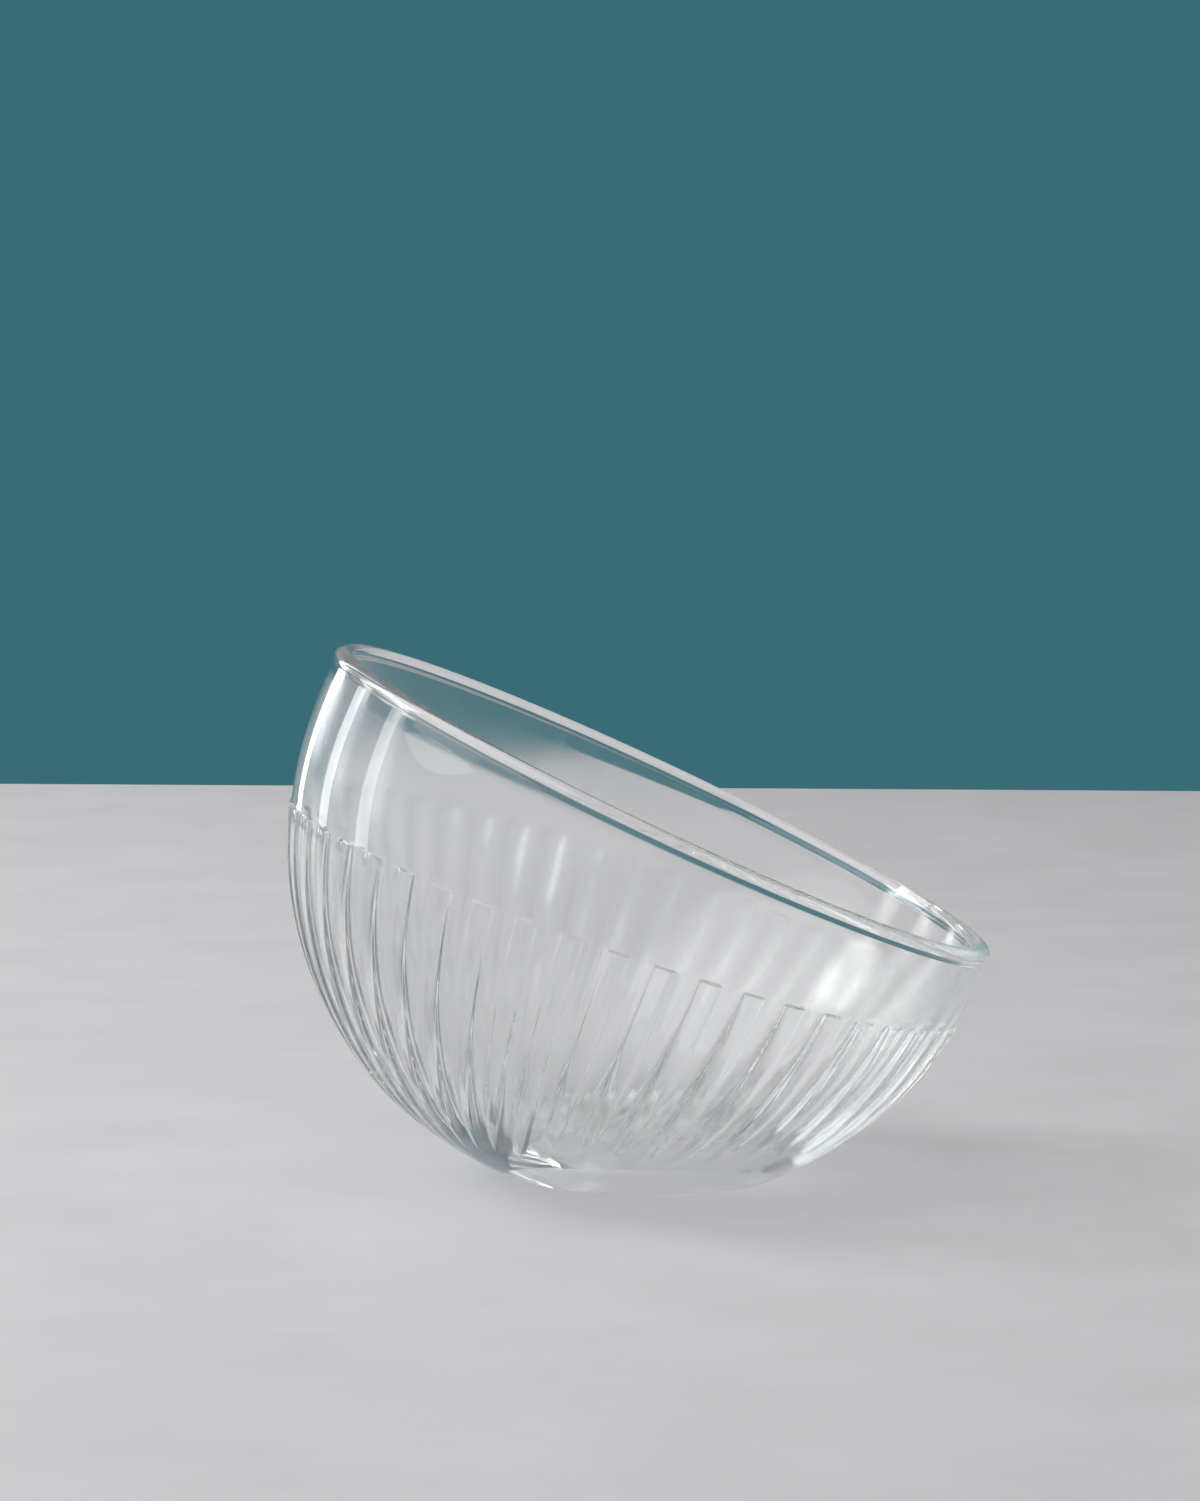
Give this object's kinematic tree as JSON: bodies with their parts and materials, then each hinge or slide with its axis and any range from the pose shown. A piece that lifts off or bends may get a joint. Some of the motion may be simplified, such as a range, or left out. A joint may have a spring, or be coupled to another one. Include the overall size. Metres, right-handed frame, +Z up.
{
  "type": "nut bowl",
  "caption": "Clear glass nut bowl: a round body leaning on a flat foot, with low upright ribs, a plain band and a slanted open rim.",
  "frame": {"origin": "middle of the flat foot, on the surface that the bowl stands on", "axes": "+Z up, square to the foot; +X towards the low side of the slanted rim; +Y across the bowl, which mirrors in the XZ plane"},
  "size_m": [0.1282, 0.1312, 0.0963],
  "materials": {
    "clear_glass": "polished"
  },
  "bodies": {
    "root": {"glass_bowl": "clear_glass"}
  },
  "joints": []
}
